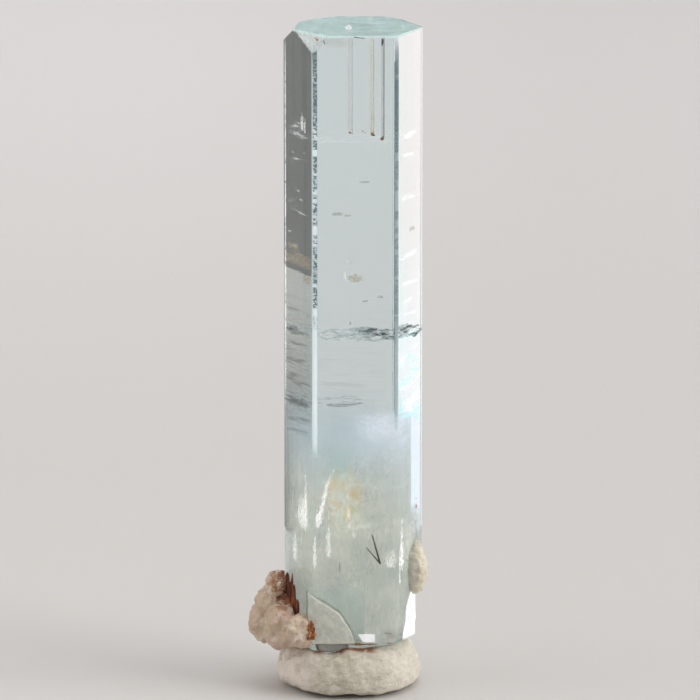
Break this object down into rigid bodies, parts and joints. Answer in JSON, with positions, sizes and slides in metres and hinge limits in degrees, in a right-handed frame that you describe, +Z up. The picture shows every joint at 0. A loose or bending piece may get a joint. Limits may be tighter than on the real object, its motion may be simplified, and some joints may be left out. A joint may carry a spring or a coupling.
{
  "type": "aquamarine crystal",
  "caption": "Tall clear pale blue six-sided crystal with a flat top, feldspar matrix at its broken foot, standing in a low lump of display putty.",
  "frame": {"origin": "centre of the putty's flat underside", "axes": "+Z up along the crystal's prism, +X to the right of the widest prism face, which looks along -Y"},
  "size_m": [0.0131, 0.0103, 0.0486],
  "materials": {
    "aquamarine": "clear pale blue, glossy prism faces",
    "feldspar": "grainy pinkish beige, dull",
    "pale_feldspar": "pale cream, fine grained",
    "cleaved_base": "greenish beige, waxy cleavage faces",
    "iron_crust": "dark red-brown, ribbed",
    "rust": "orange-brown, earthy",
    "putty": "cream, matt, kneaded"
  },
  "bodies": {
    "root": {"aquamarine_crystal": "aquamarine", "feldspar_cluster": "feldspar", "feldspar_chip": "pale_feldspar", "cleaved_fragment": "cleaved_base", "iron_crust": "iron_crust", "rust_nodule": "rust", "display_putty": "putty"}
  },
  "joints": []
}
